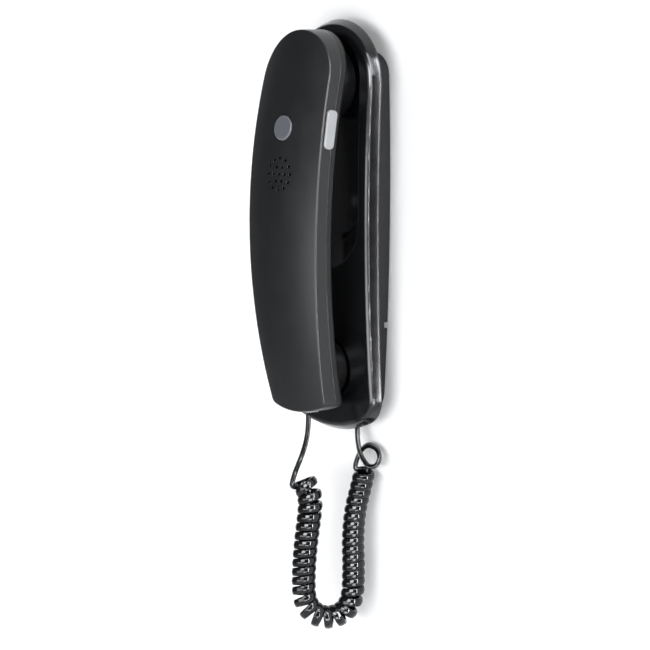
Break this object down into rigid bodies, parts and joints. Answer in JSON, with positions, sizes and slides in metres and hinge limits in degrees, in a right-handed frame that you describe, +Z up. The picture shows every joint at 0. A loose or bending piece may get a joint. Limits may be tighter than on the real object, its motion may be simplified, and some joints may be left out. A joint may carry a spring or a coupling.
{
  "type": "slimline wall phone",
  "caption": "Slim wall handset with a bowed front, a round and a long button, hung upright on a rounded base with a finger recess and joined to it by a flat curly cord.",
  "frame": {"origin": "on the wall, midway between the two wall screws, at the middle of the base", "axes": "+Z up, +Y into the wall, so the phone stands out along -Y; +X to the right for a viewer"},
  "size_m": [0.0662, 0.0496, 0.3036],
  "materials": {
    "gloss_black": "glossy",
    "black_plastic": "fine matt",
    "grey_button": "satin",
    "light_grey_button": "satin",
    "cord_black": "glossy, finely ribbed",
    "clear_plastic": "clear",
    "white_plastic": "moulded",
    "rubber_black": "soft",
    "circuit_board": "solder mask",
    "screw_steel": "plated",
    "spring_steel": "bright",
    "capsule_aluminium": "drawn",
    "ballast_iron": "raw",
    "brass": "turned"
  },
  "bodies": {
    "base": {"wall_bracket": "black_plastic", "back_housing": "black_plastic", "base_housing": "gloss_black", "housing_screws": "screw_steel", "base_circuit_board": "circuit_board", "board_screws": "screw_steel", "terminal_block": "white_plastic", "terminal_screws": "brass", "hook_switch": "black_plastic", "plunger_spring": "spring_steel", "base_jack": "black_plastic", "cradle_hook": "gloss_black", "base_plug": "clear_plastic", "cord_handset_lead": "cord_black", "cord_coil": "cord_black", "cord_base_lead": "cord_black"},
    "handset": {"handset_front_shell": "gloss_black", "handset_rear_shell": "gloss_black", "shell_screws": "screw_steel", "earpiece_capsule": "white_plastic", "earpiece_seal": "rubber_black", "microphone_capsule": "capsule_aluminium", "microphone_boot": "rubber_black", "ringer_speaker": "black_plastic", "handset_circuit_board": "circuit_board", "handset_board_screws": "screw_steel", "front_switch": "spring_steel", "side_switch": "black_plastic", "handset_jack": "black_plastic", "handset_weight": "ballast_iron", "handset_plug": "clear_plastic"},
    "front_button": {"front_button": "grey_button"},
    "side_button": {"side_button": "light_grey_button"},
    "hook_plunger": {"hook_plunger": "white_plastic"}
  },
  "joints": [
    {"name": "handset_lift", "type": "slide", "parent": "base", "child": "handset", "axis": [0, -1, 0], "range_m": [0, 0.04], "deforming": ["cord_handset_lead", "cord_coil", "cord_base_lead"]},
    {"name": "hook_plunger_travel", "type": "slide", "parent": "base", "child": "hook_plunger", "axis": [0, -1, 0], "range_m": [0, 0.003], "deforming": ["plunger_spring"]},
    {"name": "front_button_press", "type": "slide", "parent": "handset", "child": "front_button", "axis": [0, 0.9871, -0.1603], "range_m": [0, 0.0008], "stiffness_N_per_m": 800},
    {"name": "side_button_press", "type": "slide", "parent": "handset", "child": "side_button", "axis": [-1, 0, 0], "range_m": [0, 0.0007], "stiffness_N_per_m": 800}
  ],
  "couplings": [
    {"joint": "hook_plunger_travel", "follows": "handset_lift", "ratio": 0.075}
  ]
}
